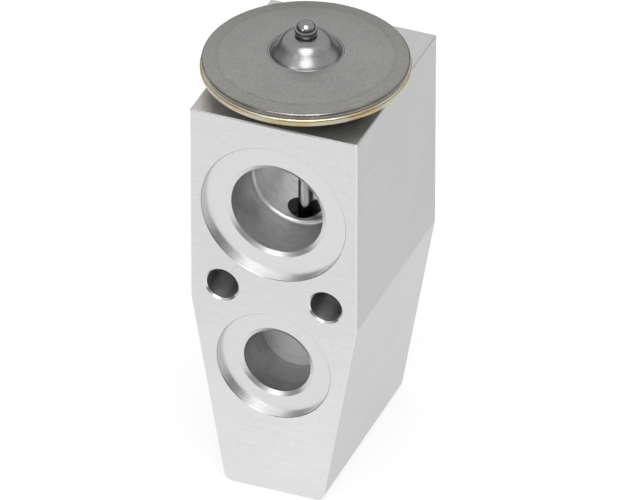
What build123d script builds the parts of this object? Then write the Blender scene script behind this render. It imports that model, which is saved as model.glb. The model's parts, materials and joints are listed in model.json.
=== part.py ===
"""Block type thermostatic expansion valve for a vehicle's air conditioner.

A length of extruded aluminium, wide at the top and tapered to a narrow foot, is bored
through from front to back. The upper line carries the cold vapour back to the compressor.
Below it, high pressure liquid enters at the front, passes a ball on its seat and leaves at the
back for the evaporator. A welded disc on top holds the charge over a thin diaphragm, which
pushes the ball off its seat through a long rod. A spring under the ball pushes back, and a
screw in the foot sets how hard.

Millimetres. Z is up along the rod, Y runs through the ports from the front face to the back
face, and X is across. The origin is the middle of the block's foot. The valve is drawn as it
lies on a shelf: the warm charge holds the rod down against its stop and the ball open.
"""

from build123d import *
import math
import os

# Extruded block
block_width = 34.0
block_depth = 41.3
block_height = 83.7
foot_width = 20.3
taper_height = 41.1
foot_corner_radius = 2.0
knee_radius = 1.5
top_corner_radius = 0.3
edge_break = 0.25

# The rod's axis lies this far in front of the middle of the block's depth
stem_offset = 3.9

# All four ports: a shallow spot face, then a lead-in for the pipe's seal ring
spot_depth = 1.4
spot_edge_break = 0.12
lead_in = 0.84
lead_in_depth = 0.5

# Upper line, bored from both faces, with a slightly narrower passage between the bores
suction_z = 63.8
suction_spot_radius = 14.7
suction_bore_radius = 9.35
suction_bore_depth = 12.2
passage_radius = 8.85
passage_chamfer = 0.3

# Lower ports, blind, each with a drilled way to the rod's axis
inlet_z = 29.1
outlet_z = 34.0
liquid_spot_radius = 11.6
liquid_bore_radius = 6.85
inlet_bore_depth = 11.35
outlet_bore_depth = 13.0
inlet_way_radius = 2.1
outlet_way_radius = 2.2
way_land = 0.3
way_overrun = 0.4

# Two bolts pass through the block from front to back
bolt_z = 45.2
bolt_spacing = 21.2
bolt_hole_radius = 3.2
bolt_hole_chamfer = 0.35

# Clearances
press_clearance = 0.01
touch_clearance = 0.02
skin_clearance = 0.005
running_clearance = 0.03
thread_clearance = 0.05
loose_clearance = 0.2

# Seat ring, pressed up into the roof of the spring chamber, and the ball under it
seat_z = 33.6
seat_ring_radius = 3.0
seat_ring_height = 2.4
seat_bore_radius = 1.3
seat_cone_depth = 0.6
ball_radius = 2.0
valve_lift = 0.8

# Spring chamber and the bores below it
chamber_radius = 4.0
seal_bore_radius = 5.6
seal_bore_top = 19.0
adjuster_thread_radius = 7.0
thread_bore_top = 11.5
thread_mouth_chamfer = 0.7

# Rod, its guide bush, and the pocket for its seal in the floor of the passage
rod_radius = 1.5
rod_tip_radius = 0.85
rod_tip_length = 7.2
rod_end_chamfer = 0.25
rod_bore_radius = 1.9
bush_radius = 2.6
bush_length = 5.0
pocket_radius = 3.5
pocket_depth = 6.0
washer_thickness = 0.5
retainer_thickness = 0.4
retainer_dish = 0.4
retainer_teeth = 8
retainer_tooth_gap = 0.7
retainer_tooth_length = 0.8

# Head: two welded covers, with a threaded hub under them
head_gap = 1.0
hub_thread_radius = 11.0
hub_well_depth = 8.5
hub_bore_radius = 7.0
hub_spigot_radius = 9.0
hub_chamfer = 0.8
rod_hole_radius = 4.0
head_seal_recess = 0.9
lower_sheet = 1.6
upper_sheet = 1.0
dish_floor_radius = 14.0
dish_wall_run = 2.6
dish_depth = 2.0
lower_rim_radius = 20.15
rim_step = 0.3
cover_clamp_radius = 16.8
lower_rim_round = 0.6
upper_rim_round = 0.45
crown_radius = 110.0
crown_rise = 1.7

# Bell pressed up in the middle of the upper cover, with the ball that closes the charge hole
bell_groove_radius = 7.1
bell_groove_width = 0.5
bell_groove_depth = 0.2
bell_lip_radius = 6.5
bell_lip_height = 0.5
bell_skirt_radius = 6.05
bell_skirt_height = 1.05
bell_waist_radius = 5.55
bell_waist_height = 1.68
bell_wall_radius = 5.0
bell_wall_height = 2.4
bell_shoulder_radius = 4.35
bell_shoulder_height = 3.05
bell_crest_radius = 3.55
bell_crest_height = 3.5
bell_top_radius = 2.0
bell_height = 3.7
charge_hole_radius = 1.5
plug_ball_radius = 2.2

# How far along the bell's skin, from its top to its groove, the inner side is set out
bell_inner_shares = (0.8, 0.65, 0.5, 0.35)

# Diaphragm and the pad that it pushes
diaphragm_thickness = 0.1
diaphragm_waves = 3
diaphragm_wave_height = 0.22
pad_radius = 11.5
pad_thickness = 1.3
pad_edge_round = 0.4
pad_boss_radius = 3.0
pad_boss_length = 3.6
pad_socket_depth = 4.4
pad_vent_radius = 1.1
pad_vent_circle_radius = 5.4
pad_vents = 4

# Carrier under the ball, with the star that keeps it from chattering
cup_below_ball_centre = 0.5
cup_radius = 2.7
cup_height = 1.3
flange_radius = 3.3
flange_thickness = 1.0
spigot_radius = 2.1
spigot_length = 2.2
star_thickness = 0.25
star_legs = 4
star_leg_angle = 36.0
star_leg_drop = 3.0

# Spring
spring_wire_radius = 0.45
spring_mean_radius = 2.75
spring_active_turns = 6
spring_closed_turns = 1
spring_ground_share = 0.6

# Adjusting screw in the foot
adjuster_bottom = 2.0
adjuster_thread_length = 7.5
adjuster_head_length = 7.5
adjuster_ring_section = 1.5
adjuster_ring_bottom = 13.8
adjuster_groove_width = 2.0
spring_pocket_depth = 2.2
hex_across_flats = 6.0
hex_depth = 4.6
adjuster_chamfer = 0.6

# Heights and radii worked out from the sizes above
over = 1.0
half_depth = block_depth / 2
diagonal = math.sqrt(0.5)
passage_floor_z = suction_z - passage_radius
pocket_floor_z = passage_floor_z - pocket_depth
hub_well_z = block_height - hub_well_depth
dish_under_z = block_height + head_gap
dish_floor_z = dish_under_z + lower_sheet
dish_lip_inset = lower_sheet * math.tan(math.atan2(dish_depth, dish_wall_run) / 2)
rim_under_z = dish_under_z + dish_depth
upper_rim_radius = lower_rim_radius - rim_step
clamp_z = rim_under_z + lower_sheet
upper_seat_z = clamp_z + diaphragm_thickness
upper_rim_top_z = upper_seat_z + upper_sheet
crown_z = upper_rim_top_z + crown_rise
pad_under_z = dish_floor_z + touch_clearance
pad_top_z = pad_under_z + pad_thickness
boss_bottom_z = pad_under_z - pad_boss_length
rod_top_z = boss_bottom_z + pad_socket_depth - touch_clearance
seat_mouth_radius = seat_bore_radius + seat_cone_depth
closed_ball_z = seat_z + seat_mouth_radius - ball_radius / diagonal
ball_z = closed_ball_z - valve_lift - touch_clearance
rod_bottom_z = ball_z + ball_radius + touch_clearance
seat_top_z = seat_z + seat_ring_height
inlet_way_z = seat_z - inlet_way_radius - way_land
outlet_way_z = seat_top_z + outlet_way_radius + way_land
cup_top_z = ball_z - cup_below_ball_centre
flange_top_z = cup_top_z - cup_height
flange_under_z = flange_top_z - flange_thickness
star_under_z = flange_under_z - press_clearance - star_thickness
adjuster_head_z = adjuster_bottom + adjuster_thread_length
adjuster_top_z = adjuster_head_z + adjuster_head_length
adjuster_head_radius = seal_bore_radius - thread_clearance
spring_pocket_z = adjuster_top_z - spring_pocket_depth
rod_seal_section = pocket_radius - rod_radius - 2 * running_clearance
washer_z = pocket_floor_z + rod_seal_section + 2 * touch_clearance
retainer_z = washer_z + washer_thickness + touch_clearance


def turned(*outline):
    """A solid turned about Z from a closed outline of (radius, height) points."""
    return revolve(make_face(Polyline(*[(r, 0, z) for r, z in outline], close=True)), Axis.Z)


def turned_curve(edges):
    """The same from lines and arcs drawn with radius across and height up."""
    return revolve(Plane.XZ * make_face(edges), Axis.Z)


def seal_ring(inner_radius, section, middle_z):
    """A rubber ring of round section."""
    return Pos(0, 0, middle_z) * Torus(inner_radius + section / 2, section / 2)


def on_stem(part):
    """Moves a part drawn about Z to the rod's axis."""
    return Pos(0, -stem_offset, 0) * part


def from_front(cutter, x, z):
    """Points a cutter, drawn with its depth along +Z, into the front face."""
    return Plane(origin=(x, -half_depth, z), x_dir=(1, 0, 0), z_dir=(0, 1, 0)) * cutter


def from_back(cutter, x, z):
    """The same into the back face."""
    return Plane(origin=(x, half_depth, z), x_dir=(-1, 0, 0), z_dir=(0, -1, 0)) * cutter


def extrusion():
    """The length sawn from the bar: its profile is the outline seen from the front."""
    half_top, half_foot = block_width / 2, foot_width / 2
    profile = make_face(
        Polyline(
            (-half_foot, 0),
            (half_foot, 0),
            (half_top, taper_height),
            (half_top, block_height),
            (-half_top, block_height),
            (-half_top, taper_height),
            close=True,
        )
    )
    profile = fillet(profile.vertices().group_by(Axis.Y)[0], foot_corner_radius)
    profile = fillet(profile.vertices().group_by(Axis.Y)[-2], knee_radius)
    profile = fillet(profile.vertices().group_by(Axis.Y)[-1], top_corner_radius)
    bar = extrude(Plane.XZ * profile, half_depth, both=True)
    front, back = bar.faces().sort_by(Axis.Y)[0], bar.faces().sort_by(Axis.Y)[-1]
    return chamfer(front.edges() + back.edges(), edge_break)


def port_cutter(spot_radius, bore_radius, bore_depth):
    """Spot face, lead-in and bore of one port."""
    return turned(
        (0, -over),
        (spot_radius + spot_edge_break, -over),
        (spot_radius + spot_edge_break, 0),
        (spot_radius, spot_edge_break),
        (spot_radius, spot_depth),
        (bore_radius + lead_in, spot_depth),
        (bore_radius, spot_depth + lead_in_depth),
        (bore_radius, bore_depth),
        (0, bore_depth),
    )


def passage_cutter():
    """The narrower middle of the upper line, chamfered where each bore ends on it."""
    wide = passage_radius + passage_chamfer
    first, last = suction_bore_depth, block_depth - suction_bore_depth
    return turned(
        (0, first - over),
        (wide, first - over),
        (wide, first),
        (passage_radius, first + passage_chamfer),
        (passage_radius, last - passage_chamfer),
        (wide, last),
        (wide, last + over),
        (0, last + over),
    )


def way_cutter(radius, start, end):
    """A drilled way from a port's end wall to the rod's axis, or past it."""
    return turned((0, start - over), (radius, start - over), (radius, end), (0, end))


def bolt_cutter():
    wide = bolt_hole_radius + bolt_hole_chamfer
    return turned(
        (0, -over),
        (wide, -over),
        (wide, 0),
        (bolt_hole_radius, bolt_hole_chamfer),
        (bolt_hole_radius, block_depth - bolt_hole_chamfer),
        (wide, block_depth),
        (wide, block_depth + over),
        (0, block_depth + over),
    )


def foot_bore_cutter():
    """Thread, seal bore, spring chamber and seat ring's bore, one above another."""
    thread_step = adjuster_thread_radius - seal_bore_radius
    chamber_step = seal_bore_radius - chamber_radius
    seat_bore = seat_ring_radius + press_clearance
    return turned(
        (0, -over),
        (adjuster_thread_radius + thread_mouth_chamfer, -over),
        (adjuster_thread_radius + thread_mouth_chamfer, 0),
        (adjuster_thread_radius, thread_mouth_chamfer),
        (adjuster_thread_radius, thread_bore_top),
        (seal_bore_radius, thread_bore_top + thread_step),
        (seal_bore_radius, seal_bore_top),
        (chamber_radius, seal_bore_top + chamber_step),
        (chamber_radius, seat_z),
        (seat_bore, seat_z),
        (seat_bore, seat_top_z + press_clearance),
        (rod_bore_radius, seat_top_z + press_clearance),
        (rod_bore_radius, outlet_way_z),
        (0, outlet_way_z),
    )


def rod_bore_cutter():
    """Rod's bore, bush's bore and the pocket for the seal, up into the passage."""
    bush_bore = bush_radius + press_clearance
    bush_floor_z = pocket_floor_z - bush_length - press_clearance
    return turned(
        (0, outlet_way_z),
        (rod_bore_radius, outlet_way_z),
        (rod_bore_radius, bush_floor_z),
        (bush_bore, bush_floor_z),
        (bush_bore, pocket_floor_z),
        (pocket_radius, pocket_floor_z),
        (pocket_radius, suction_z),
        (0, suction_z),
    )


def head_bore_cutter():
    """Hole from the passage into the hub's threaded well, and the head seal's recess."""
    well_radius = hub_thread_radius + thread_clearance
    seal_section = head_gap + head_seal_recess - 2 * touch_clearance
    recess_radius = well_radius + seal_section + 2 * running_clearance
    return turned(
        (0, suction_z),
        (rod_hole_radius, suction_z),
        (rod_hole_radius, hub_well_z),
        (well_radius, hub_well_z),
        (well_radius, block_height - head_seal_recess),
        (recess_radius, block_height - head_seal_recess),
        (recess_radius, block_height + over),
        (0, block_height + over),
    )


def valve_block():
    suction = port_cutter(suction_spot_radius, suction_bore_radius, suction_bore_depth)
    inlet = port_cutter(liquid_spot_radius, liquid_bore_radius, inlet_bore_depth)
    outlet = port_cutter(liquid_spot_radius, liquid_bore_radius, outlet_bore_depth)
    inlet_way = way_cutter(inlet_way_radius, inlet_bore_depth, half_depth - stem_offset)
    past_rod = half_depth + stem_offset + rod_bore_radius + way_overrun
    outlet_way = way_cutter(outlet_way_radius, outlet_bore_depth, past_rod)
    cutters = [
        from_front(suction, 0, suction_z),
        from_back(suction, 0, suction_z),
        from_front(passage_cutter(), 0, suction_z),
        from_front(inlet, 0, inlet_z),
        from_front(inlet_way, 0, inlet_way_z),
        from_back(outlet, 0, outlet_z),
        from_back(outlet_way, 0, outlet_way_z),
        on_stem(foot_bore_cutter()),
        on_stem(rod_bore_cutter()),
        on_stem(head_bore_cutter()),
    ]
    cutters += [from_front(bolt_cutter(), side * bolt_spacing / 2, bolt_z) for side in (-1, 1)]
    block = extrusion()
    for cutter in cutters:
        block -= cutter
    return block


def lower_cover():
    """Pressed dish with a flat rim, pierced for the hub."""
    hole = hub_spigot_radius + press_clearance
    bend = dish_floor_radius + dish_wall_run
    cover = turned(
        (hole, dish_under_z),
        (dish_floor_radius, dish_under_z),
        (bend, rim_under_z),
        (lower_rim_radius, rim_under_z),
        (lower_rim_radius, clamp_z),
        (bend - dish_lip_inset, clamp_z),
        (dish_floor_radius - dish_lip_inset, dish_floor_z),
        (hole, dish_floor_z),
    )
    rim = cover.edges().filter_by(GeomType.CIRCLE).sort_by(SortBy.RADIUS)[-2:]
    return fillet(rim, lower_rim_round)


def crown_height(radius):
    """Height of the upper cover's outer surface, a shallow sphere, at a radius."""
    return crown_z - crown_radius + math.sqrt(crown_radius**2 - radius**2)


def bell_outside(base):
    """The bell's outer outline: its groove, then skirt, waist and dome, then its flat top."""
    groove_outer = bell_groove_radius + bell_groove_width / 2
    groove_inner = bell_groove_radius - bell_groove_width / 2
    groove = ThreePointArc(
        (groove_outer, crown_height(groove_outer)),
        (bell_groove_radius, base - bell_groove_depth),
        (groove_inner, base),
    )
    skin = Spline(
        (groove_inner, base),
        (bell_lip_radius, base + bell_lip_height),
        (bell_skirt_radius, base + bell_skirt_height),
        (bell_waist_radius, base + bell_waist_height),
        (bell_wall_radius, base + bell_wall_height),
        (bell_shoulder_radius, base + bell_shoulder_height),
        (bell_crest_radius, base + bell_crest_height),
        (bell_top_radius, base + bell_height),
    )
    return [groove, skin, Line(skin @ 1, (charge_hole_radius, base + bell_height))]


def bell_inside(base, skin):
    """The sheet's inner side, square to the outer one, down to the underside of the crown."""
    top = (charge_hole_radius, base + bell_height - upper_sheet)
    foot_radius = bell_groove_radius - upper_sheet
    foot = (foot_radius, crown_height(foot_radius) - upper_sheet)
    inner = []
    for share in bell_inner_shares:
        place, along = skin @ share, skin % share
        inner.append((place.X - upper_sheet * along.Y, place.Y + upper_sheet * along.X))
    return [
        Line((charge_hole_radius, base + bell_height), top),
        Spline(top, *inner),
        Line(inner[-1], foot),
    ]


def upper_cover():
    """Crowned disc with a bell in the middle, pressed from one sheet and pierced on top."""
    base = crown_height(bell_groove_radius)
    shoulder = upper_rim_radius - upper_rim_round
    rim_side = (upper_rim_radius, crown_height(shoulder) - upper_rim_round)
    rim_top = (shoulder, crown_height(shoulder))
    rim_middle = (shoulder + upper_rim_round * diagonal, rim_side[1] + upper_rim_round * diagonal)
    bell = bell_outside(base)
    hollow = bell_inside(base, bell[1])
    inner_edge = cover_clamp_radius - upper_sheet
    edge_roof = (inner_edge, crown_height(inner_edge) - upper_sheet)
    outline = [
        Line((upper_rim_radius, upper_seat_z), rim_side),
        ThreePointArc(rim_side, rim_middle, rim_top),
        RadiusArc(rim_top, tuple(bell[0] @ 0)[:2], -crown_radius),
        *bell,
        *hollow,
        RadiusArc(tuple(hollow[-1] @ 1)[:2], edge_roof, crown_radius),
        Line(edge_roof, (cover_clamp_radius, upper_seat_z)),
        Line((cover_clamp_radius, upper_seat_z), (upper_rim_radius, upper_seat_z)),
    ]
    return turned_curve(outline) - Pos(0, 0, plug_ball_z()) * Sphere(plug_ball_radius + press_clearance)


def plug_ball_z():
    """The ball sinks into the charge hole until it is as wide as the bell's flat top."""
    bell_top_z = crown_height(bell_groove_radius) + bell_height
    return bell_top_z + math.sqrt(plug_ball_radius**2 - bell_top_radius**2)


def plug_ball():
    return Pos(0, 0, plug_ball_z()) * Sphere(plug_ball_radius)


def threaded_hub():
    """Screwed down onto the floor of the block's well. Its spigot is welded into the dish."""
    bottom = hub_well_z + touch_clearance
    shoulder = dish_under_z - press_clearance
    spigot_top = dish_floor_z - press_clearance
    return turned(
        (hub_bore_radius, bottom),
        (hub_thread_radius - hub_chamfer, bottom),
        (hub_thread_radius, bottom + hub_chamfer),
        (hub_thread_radius, shoulder),
        (hub_spigot_radius, shoulder),
        (hub_spigot_radius, spigot_top),
        (hub_bore_radius, spigot_top),
    )


def head_seal():
    """Rubber ring squeezed between the dish and the recess in the block's top."""
    section = head_gap + head_seal_recess - 2 * touch_clearance
    middle = (block_height - head_seal_recess + dish_under_z) / 2
    return seal_ring(hub_thread_radius + thread_clearance + running_clearance, section, middle)


def diaphragm():
    """Thin corrugated disc, clamped at its rim and pushed down onto the pad by the charge."""
    low = pad_top_z + touch_clearance
    wave_start = pad_radius
    wave_end = dish_floor_radius + dish_wall_run - dish_lip_inset - loose_clearance
    steps = 2 * diaphragm_waves
    points = [(wave_start, low)]
    for i in range(1, steps):
        share = i / steps
        swing = diaphragm_wave_height / 2 * (1 if i % 2 else -1)
        points.append((wave_start + (wave_end - wave_start) * share, low + (clamp_z - low) * share + swing))
    points.append((wave_end, clamp_z))
    rim = upper_rim_radius - loose_clearance

    def side(rise):
        raised = [(r, z + rise) for r, z in points]
        return [
            Line((0, low + rise), raised[0]),
            Spline(*raised, tangents=((1, 0), (1, 0))),
            Line(raised[-1], (rim, clamp_z + rise)),
        ]

    under, upper = side(skin_clearance), side(diaphragm_thickness - skin_clearance)
    ends = [Line(under[0] @ 0, upper[0] @ 0), Line(under[-1] @ 1, upper[-1] @ 1)]
    return turned_curve([*under, *upper, *ends])


def diaphragm_pad():
    """Carries the diaphragm's push to the rod, and stops on the floor of the dish."""
    pad = turned(
        (0, boss_bottom_z),
        (pad_boss_radius, boss_bottom_z),
        (pad_boss_radius, pad_under_z),
        (pad_radius, pad_under_z),
        (pad_radius, pad_top_z),
        (0, pad_top_z),
    )
    rim = pad.edges().filter_by(GeomType.CIRCLE).sort_by(SortBy.RADIUS)[-2:]
    pad = fillet(rim, pad_edge_round)
    on_floor = (Align.CENTER, Align.CENTER, Align.MIN)
    pad -= Pos(0, 0, boss_bottom_z) * Cylinder(rod_radius + press_clearance, pad_socket_depth, align=on_floor)
    vent = Cylinder(pad_vent_radius, 2 * (pad_thickness + over))
    vents = PolarLocations(pad_vent_circle_radius, pad_vents)
    return pad - [Pos(0, 0, pad_top_z) * spot * vent for spot in vents]


def push_rod():
    """Rod from the pad down to the ball, necked where it passes the outlet way and the seat."""
    shoulder = rod_bottom_z + rod_tip_length
    neck_step = rod_radius - rod_tip_radius
    return turned(
        (0, rod_bottom_z),
        (rod_tip_radius, rod_bottom_z),
        (rod_tip_radius, shoulder),
        (rod_radius, shoulder + neck_step),
        (rod_radius, rod_top_z - rod_end_chamfer),
        (rod_radius - rod_end_chamfer, rod_top_z),
        (0, rod_top_z),
    )


def guide_bush():
    """Guides the rod. Its top is flush with the floor of the seal's pocket."""
    inner = rod_radius + running_clearance
    top, bottom = pocket_floor_z, pocket_floor_z - bush_length
    return turned((inner, bottom), (bush_radius, bottom), (bush_radius, top), (inner, top))


def rod_seal():
    middle = pocket_floor_z + touch_clearance + rod_seal_section / 2
    return seal_ring(rod_radius + running_clearance, rod_seal_section, middle)


def seal_washer():
    inner, outer = rod_radius + loose_clearance, pocket_radius - running_clearance
    top = washer_z + washer_thickness
    return turned((inner, washer_z), (outer, washer_z), (outer, top), (inner, top))


def seal_retainer():
    """Sprung star washer whose raised teeth bite the wall of the pocket."""
    inner, outer = rod_radius + 2 * loose_clearance, pocket_radius - press_clearance
    root = outer - retainer_tooth_length
    star = turned(
        (inner, retainer_z),
        (root, retainer_z),
        (outer, retainer_z + retainer_dish),
        (outer, retainer_z + retainer_dish + retainer_thickness),
        (root, retainer_z + retainer_thickness),
        (inner, retainer_z + retainer_thickness),
    )
    gap_height = 2 * (retainer_dish + retainer_thickness + over)
    gap = Box(2 * retainer_tooth_length, retainer_tooth_gap, gap_height)
    return star - [Pos(0, 0, retainer_z) * spot * gap for spot in PolarLocations(outer, retainer_teeth)]


def seat_ring():
    """Hard ring with a short cone that the ball closes on."""
    return turned(
        (seat_mouth_radius, seat_z),
        (seat_ring_radius, seat_z),
        (seat_ring_radius, seat_top_z),
        (seat_bore_radius, seat_top_z),
        (seat_bore_radius, seat_z + seat_cone_depth),
    )


def valve_ball():
    return Pos(0, 0, ball_z) * Sphere(ball_radius)


def ball_carrier():
    """Cup for the ball, flange for the spring, and a spigot that centres the spring."""
    spigot_bottom = flange_under_z - spigot_length
    carrier = turned(
        (0, spigot_bottom),
        (spigot_radius - rod_end_chamfer, spigot_bottom),
        (spigot_radius, spigot_bottom + rod_end_chamfer),
        (spigot_radius, flange_under_z),
        (flange_radius, flange_under_z),
        (flange_radius, flange_top_z),
        (cup_radius, flange_top_z),
        (cup_radius - rod_end_chamfer, cup_top_z),
        (0, cup_top_z),
    )
    return carrier - Pos(0, 0, ball_z) * Sphere(ball_radius + press_clearance)


def star_leg(top):
    """One bowed leg, drawn as a strip bent outwards to the chamber's wall and back."""
    wall = chamber_radius - 2 * running_clearance
    middle, low = top - star_leg_drop / 2, top - star_leg_drop
    outer = [(flange_radius, top), (wall, middle), (wall - star_thickness, low)]
    inner = [(r - star_thickness, z) for r, z in outer]
    strip = [
        Line(inner[0], outer[0]),
        ThreePointArc(*outer),
        Line(outer[-1], inner[-1]),
        ThreePointArc(*reversed(inner)),
    ]
    return revolve(Plane.XZ * make_face(strip), Axis.Z, star_leg_angle)


def damper_star():
    """Washer under the carrier whose bowed legs rub on the wall of the chamber."""
    top = flange_under_z - press_clearance
    inner = spigot_radius + running_clearance
    star = turned((inner, star_under_z), (flange_radius, star_under_z), (flange_radius, top), (inner, top))
    leg = star_leg(top)
    for i in range(star_legs):
        star += Rot(0, 0, i * 360 / star_legs) * leg
    return star


def superheat_spring():
    """Coil with closed ends, ground flat on the star above and the screw below."""
    low, high = spring_pocket_z + touch_clearance, star_under_z - touch_clearance
    ground = spring_ground_share * spring_wire_radius
    closed_pitch = 2 * spring_wire_radius + touch_clearance
    closed_height = closed_pitch * spring_closed_turns
    start, end = low + spring_wire_radius - ground, high - spring_wire_radius + ground
    active_height = end - start - 2 * closed_height
    stretches = [
        (closed_pitch, closed_height, start),
        (active_height / spring_active_turns, active_height, start + closed_height),
        (closed_pitch, closed_height, end - closed_height),
    ]
    coil = None
    for pitch, height, bottom in stretches:
        path = Pos(0, 0, bottom) * Helix(pitch, height, spring_mean_radius)
        section = Plane(origin=path @ 0, z_dir=path % 0) * Circle(spring_wire_radius)
        stretch = sweep(section, path, is_frenet=True)
        coil = stretch if coil is None else coil + stretch
    on_floor = (Align.CENTER, Align.CENTER, Align.MIN)
    return coil & Pos(0, 0, low) * Cylinder(2 * spring_mean_radius, high - low, align=on_floor)


def adjusting_screw():
    """Plug screwed into the foot: hexagon socket below, seal groove and spring pocket above."""
    thread = adjuster_thread_radius - thread_clearance
    groove_floor = seal_bore_radius - running_clearance - adjuster_ring_section - running_clearance
    groove_top = adjuster_ring_bottom + adjuster_groove_width
    pocket = spring_mean_radius + spring_wire_radius + loose_clearance
    screw = turned(
        (0, adjuster_bottom),
        (thread - adjuster_chamfer, adjuster_bottom),
        (thread, adjuster_bottom + adjuster_chamfer),
        (thread, adjuster_head_z - adjuster_chamfer),
        (thread - adjuster_chamfer, adjuster_head_z),
        (adjuster_head_radius, adjuster_head_z),
        (adjuster_head_radius, adjuster_ring_bottom),
        (groove_floor, adjuster_ring_bottom),
        (groove_floor, groove_top),
        (adjuster_head_radius, groove_top),
        (adjuster_head_radius, adjuster_top_z - adjuster_chamfer),
        (adjuster_head_radius - adjuster_chamfer, adjuster_top_z),
        (pocket, adjuster_top_z),
        (pocket, spring_pocket_z),
        (0, spring_pocket_z),
    )
    hexagon = RegularPolygon(hex_across_flats / 2, 6, major_radius=False)
    return screw - Pos(0, 0, adjuster_bottom) * extrude(hexagon, hex_depth)


def adjuster_ring():
    inner = seal_bore_radius - running_clearance - adjuster_ring_section
    return seal_ring(inner, adjuster_ring_section, adjuster_ring_bottom + adjuster_groove_width / 2)


def main():
    on_the_stem = [
        upper_cover,
        lower_cover,
        plug_ball,
        threaded_hub,
        head_seal,
        diaphragm,
        diaphragm_pad,
        push_rod,
        guide_bush,
        rod_seal,
        seal_washer,
        seal_retainer,
        seat_ring,
        valve_ball,
        ball_carrier,
        damper_star,
        superheat_spring,
        adjusting_screw,
        adjuster_ring,
    ]
    os.makedirs("parts", exist_ok=True)
    export_step(valve_block(), "parts/valve_block.step")
    for make in on_the_stem:
        export_step(on_stem(make()), f"parts/{make.__name__}.step")


main()
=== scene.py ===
"""Finishes, floor, light and camera for the block type thermostatic expansion valve.

The camera stands where the photograph's did. Every finish is built from nodes on the part's own
coordinates in millimetres, so that it keeps its scale and moves with its piece. Three nodes are
shown by pieces of the same form: the adjusting screw with its thread cut, and the spring and the
diaphragm, each rebuilt from its node's points and baked in place.
"""

import json
import math

import bmesh
import bpy
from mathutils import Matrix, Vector


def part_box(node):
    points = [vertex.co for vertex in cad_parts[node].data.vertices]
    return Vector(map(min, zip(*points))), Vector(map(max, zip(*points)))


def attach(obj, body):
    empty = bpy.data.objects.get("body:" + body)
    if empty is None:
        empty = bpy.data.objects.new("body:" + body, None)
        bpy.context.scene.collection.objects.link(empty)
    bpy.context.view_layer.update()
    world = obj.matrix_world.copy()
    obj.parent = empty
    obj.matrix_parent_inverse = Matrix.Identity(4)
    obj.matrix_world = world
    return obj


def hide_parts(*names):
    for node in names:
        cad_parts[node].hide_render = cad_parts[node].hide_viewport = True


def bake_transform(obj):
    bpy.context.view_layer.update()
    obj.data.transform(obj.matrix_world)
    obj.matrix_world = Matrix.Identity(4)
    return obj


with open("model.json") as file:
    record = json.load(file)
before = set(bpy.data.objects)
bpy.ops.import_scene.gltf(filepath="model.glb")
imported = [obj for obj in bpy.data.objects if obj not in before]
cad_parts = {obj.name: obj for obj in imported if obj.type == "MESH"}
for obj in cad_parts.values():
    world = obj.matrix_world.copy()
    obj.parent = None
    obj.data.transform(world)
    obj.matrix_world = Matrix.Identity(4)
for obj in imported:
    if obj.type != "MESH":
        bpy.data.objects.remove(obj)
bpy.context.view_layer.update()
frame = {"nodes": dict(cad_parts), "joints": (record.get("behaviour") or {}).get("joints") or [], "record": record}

MM = 1000.0

# Camera, fitted to the block's corners and the rims of its ports
SENSOR_WIDTH = 36.0
LENS = 695.3
CAMERA_AZIMUTH = math.radians(21.761)
CAMERA_ELEVATION = math.radians(34.113)
CAMERA_DISTANCE = 2.31274
CAMERA_TARGET = Vector((-0.000291, 0.000143, 0.042685))
CAMERA_REACH = 20.0

# Light: a white room, and one round soft box above the camera
ROOM_RADIANCE = 1.0
SOFTBOX_ELEVATION = math.radians(60)
SOFTBOX_DISTANCE = 1.6
SOFTBOX_ANGLE = math.radians(40)
SOFTBOX_RADIANCE = 4.0

# Window in front, left of the camera, that only reflected rays meet
WINDOW_AZIMUTH = (math.radians(-27), math.radians(-7))
WINDOW_ELEVATION = (math.radians(19), math.radians(37))
WINDOW_DISTANCE = 2.8
WINDOW_RADIANCE = 3.0

# Cards that stand round the set, dark at the floor and white above, for the metal to reflect.
# The dark fades out between two heights, which are larger in front than behind
CARD_DISTANCE = 3.0
CARD_HEIGHT = 2.4
CARD_SIDES = 96
CARD_DARK = 0.16
CARD_BACK_FADE = (0.35, 1.1)
CARD_FRONT_FADE = (0.7, 2.3)
CARD_SIDE = CARD_DISTANCE / 3

# Floor. In the metal, its glow falls to FLOOR_FAR between two distances
FLOOR_HALF = 20.0
FLOOR_DROP = 0.00002
FLOOR_GREY = 0.9
FLOOR_WHITENESS = 0.8
FLOOR_FAR = 0.25
FLOOR_FADE = (0.45, 1.3)

# Places in the part, in millimetres. Those that the frame doesn't give are copied from its solids
MOUNTS = frame["record"]["mounts"]
JOINTS = {joint["name"]: joint for joint in frame["joints"]}
PLACES = {mount["name"]: [MM * value for value in mount["pos_m"]] for mount in MOUNTS}
BORES = {mount["name"]: mount["dims"] for mount in MOUNTS}
SUCTION_Z = PLACES["suction_outlet_port"][2]
INLET_Z = PLACES["liquid_inlet_port"][2]
OUTLET_Z = PLACES["liquid_outlet_port"][2]
BOLT_Z = PLACES["mounting_bolts"][2]
BOLT_X = BORES["mounting_bolts"]["spacing_x_mm"] / 2
BOLT_HOLE_RADIUS = BORES["mounting_bolts"]["hole_r_mm"]
SUCTION_BORE_RADIUS = BORES["suction_outlet_port"]["r_mm"]
LIQUID_BORE_RADIUS = BORES["liquid_inlet_port"]["r_mm"]
STEM_Y = MM * JOINTS["screw_turn"]["pos_m"][1]
HALF_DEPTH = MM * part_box("valve_block")[1].y
RIM_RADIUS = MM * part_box("upper_cover")[1].x
SUCTION_SPOT_RADIUS = 14.7
LIQUID_SPOT_RADIUS = 11.6
MIDDLE_Z = (SUCTION_Z - SUCTION_SPOT_RADIUS + OUTLET_Z + LIQUID_SPOT_RADIUS) / 2
KNEE_Z = 41.1
BELL_GROOVE_RADIUS = 7.1

# Thread between the adjusting screw and the block's foot, in millimetres
THREAD_RADIUS = 7.0
THREAD_TOP = 11.6
THREAD_PITCH = 1.0

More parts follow.
